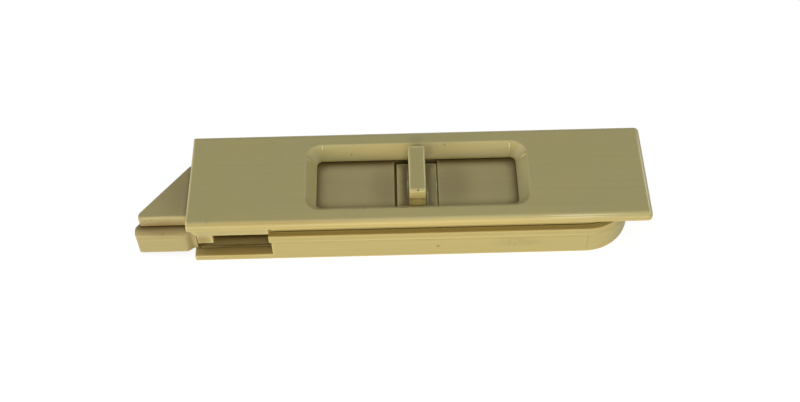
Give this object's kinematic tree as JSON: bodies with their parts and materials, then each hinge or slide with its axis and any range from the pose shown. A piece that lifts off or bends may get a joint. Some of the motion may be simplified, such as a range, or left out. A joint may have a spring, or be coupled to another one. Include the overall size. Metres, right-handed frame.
{
  "type": "tilt latch",
  "caption": "Recessed window sash tilt latch: a moulded face plate and round-ended tray guide a sprung, bevelled slide bolt that a finger pull in the plate's window draws back.",
  "frame": {"origin": "middle of the face plate's underside, on the plane that seats on the sash rail", "axes": "+X along the latch away from the bolt's nose, +Y across the latch towards the side that the nose's bevel faces, +Z out of the face plate"},
  "size_m": [0.135, 0.0302, 0.0218],
  "materials": {
    "plate_moulding": "moulded beige plastic with a fine satin grain",
    "tray_moulding": "moulded beige plastic, satin, slightly warmer than the plate",
    "bolt_moulding": "moulded beige plastic, satin, faintly streaked along the slide",
    "pull_moulding": "moulded beige plastic, satin, polished by use on the rib",
    "spring_wire": "drawn spring wire, bright"
  },
  "bodies": {
    "housing": {"face_plate": "plate_moulding", "body_tray": "tray_moulding", "return_spring": "spring_wire"},
    "bolt": {"latch_bolt": "bolt_moulding", "finger_pull": "pull_moulding"}
  },
  "joints": [
    {"name": "bolt_slide", "type": "slide", "parent": "housing", "child": "bolt", "axis": [1, 0, 0], "range_m": [0, 0.015], "stiffness_N_per_m": 250, "springref_m": -0.016, "deforming": ["return_spring"]}
  ]
}
